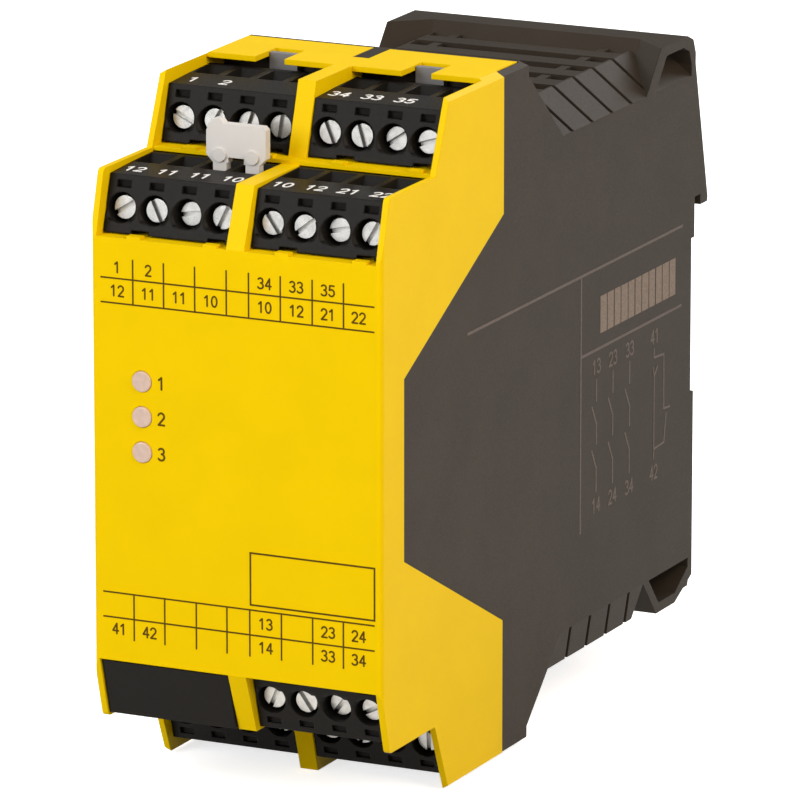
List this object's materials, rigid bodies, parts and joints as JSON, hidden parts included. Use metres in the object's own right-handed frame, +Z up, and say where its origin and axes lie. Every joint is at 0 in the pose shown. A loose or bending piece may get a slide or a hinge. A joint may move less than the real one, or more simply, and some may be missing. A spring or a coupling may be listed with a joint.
{
  "type": "safety relay",
  "caption": "Rail-mounted safety relay: yellow front hood with status lamps, dark vented base, pull-off screw terminal blocks and a sprung foot latch.",
  "frame": {"origin": "centre of the flat rear seat that lies against the front of the 35 mm rail", "axes": "+X to the right seen from the front, +Y from the front face back to the rail, +Z up"},
  "size_m": [0.045, 0.113, 0.1006],
  "materials": {
    "base_plastic": "fine satin texture, dark warm grey",
    "hood_plastic": "satin gloss, signal yellow",
    "terminal_plastic": "satin, near black",
    "latch_plastic": "satin, dark grey",
    "bridge_plastic": "satin, light grey",
    "header_plastic": "matt mid grey",
    "screw_steel": "bright plated steel",
    "clamp_metal": "bright plated steel",
    "pin_metal": "tinned brass",
    "fork_metal": "tinned copper",
    "spring_steel": "bare spring steel",
    "board_laminate": "lacquered, green",
    "relay_case": "satin, black",
    "chip_resin": "matt, black",
    "core_steel": "varnished steel sheets",
    "coil_tape": "smooth amber tape",
    "can_metal": "smooth sleeve",
    "disc_coating": "glossy resin, blue",
    "lens_plastic": "smooth, milky when unlit",
    "led_resin": "clear resin"
  },
  "bodies": {
    "housing": {"base_housing": "base_plastic", "front_hood": "hood_plastic", "blank_filler": "terminal_plastic", "latch_spring": "spring_steel", "front_board": "board_laminate", "left_board": "board_laminate", "right_board": "board_laminate", "relay_left": "relay_case", "relay_right": "relay_case", "logic_chip_left": "chip_resin", "logic_chip_right": "chip_resin", "transformer_core": "core_steel", "transformer_coil": "coil_tape", "bulk_capacitor": "can_metal", "board_fuse": "chip_resin", "surge_disc": "disc_coating", "header_top_front_left": "header_plastic", "pins_top_front_left": "pin_metal", "header_top_front_right": "header_plastic", "pins_top_front_right": "pin_metal", "header_top_rear_left": "header_plastic", "pins_top_rear_left": "pin_metal", "header_top_rear_right": "header_plastic", "pins_top_rear_right": "pin_metal", "header_bottom_front_right": "header_plastic", "pins_bottom_front_right": "pin_metal", "header_bottom_rear_left": "header_plastic", "pins_bottom_rear_left": "pin_metal", "header_bottom_rear_right": "header_plastic", "pins_bottom_rear_right": "pin_metal", "lens_power": "lens_plastic", "led_power": "led_resin", "lens_channel_1": "lens_plastic", "led_channel_1": "led_resin", "lens_channel_2": "lens_plastic", "led_channel_2": "led_resin"},
    "latch": {"rail_latch": "latch_plastic"},
    "terminal_block_top_front_left": {"plug_top_front_left": "terminal_plastic", "screws_top_front_left": "screw_steel", "clamps_top_front_left": "clamp_metal", "bridge_grip": "bridge_plastic", "bridge_fork": "fork_metal"},
    "terminal_block_top_front_right": {"plug_top_front_right": "terminal_plastic", "screws_top_front_right": "screw_steel", "clamps_top_front_right": "clamp_metal"},
    "terminal_block_top_rear_left": {"plug_top_rear_left": "terminal_plastic", "screws_top_rear_left": "screw_steel", "clamps_top_rear_left": "clamp_metal"},
    "terminal_block_top_rear_right": {"plug_top_rear_right": "terminal_plastic", "screws_top_rear_right": "screw_steel", "clamps_top_rear_right": "clamp_metal"},
    "terminal_block_bottom_front_right": {"plug_bottom_front_right": "terminal_plastic", "screws_bottom_front_right": "screw_steel", "clamps_bottom_front_right": "clamp_metal"},
    "terminal_block_bottom_rear_left": {"plug_bottom_rear_left": "terminal_plastic", "screws_bottom_rear_left": "screw_steel", "clamps_bottom_rear_left": "clamp_metal"},
    "terminal_block_bottom_rear_right": {"plug_bottom_rear_right": "terminal_plastic", "screws_bottom_rear_right": "screw_steel", "clamps_bottom_rear_right": "clamp_metal"}
  },
  "joints": [
    {"name": "pull_out_top_front_left", "type": "slide", "parent": "housing", "child": "terminal_block_top_front_left", "axis": [0, -1, 0], "range_m": [0, 0.009]},
    {"name": "pull_out_top_front_right", "type": "slide", "parent": "housing", "child": "terminal_block_top_front_right", "axis": [0, -1, 0], "range_m": [0, 0.009]},
    {"name": "pull_out_top_rear_left", "type": "slide", "parent": "housing", "child": "terminal_block_top_rear_left", "axis": [0, -1, 0], "range_m": [0, 0.005]},
    {"name": "pull_out_top_rear_right", "type": "slide", "parent": "housing", "child": "terminal_block_top_rear_right", "axis": [0, -1, 0], "range_m": [0, 0.009]},
    {"name": "pull_out_bottom_front_right", "type": "slide", "parent": "housing", "child": "terminal_block_bottom_front_right", "axis": [0, -1, 0], "range_m": [0, 0.009]},
    {"name": "pull_out_bottom_rear_left", "type": "slide", "parent": "housing", "child": "terminal_block_bottom_rear_left", "axis": [0, -1, 0], "range_m": [0, 0.009]},
    {"name": "pull_out_bottom_rear_right", "type": "slide", "parent": "housing", "child": "terminal_block_bottom_rear_right", "axis": [0, -1, 0], "range_m": [0, 0.009]},
    {"name": "latch_pull", "type": "slide", "parent": "housing", "child": "latch", "axis": [0, 0, -1], "range_m": [0, 0.003], "stiffness_N_per_m": 600, "springref_m": -0.004, "deforming": ["latch_spring"]}
  ]
}
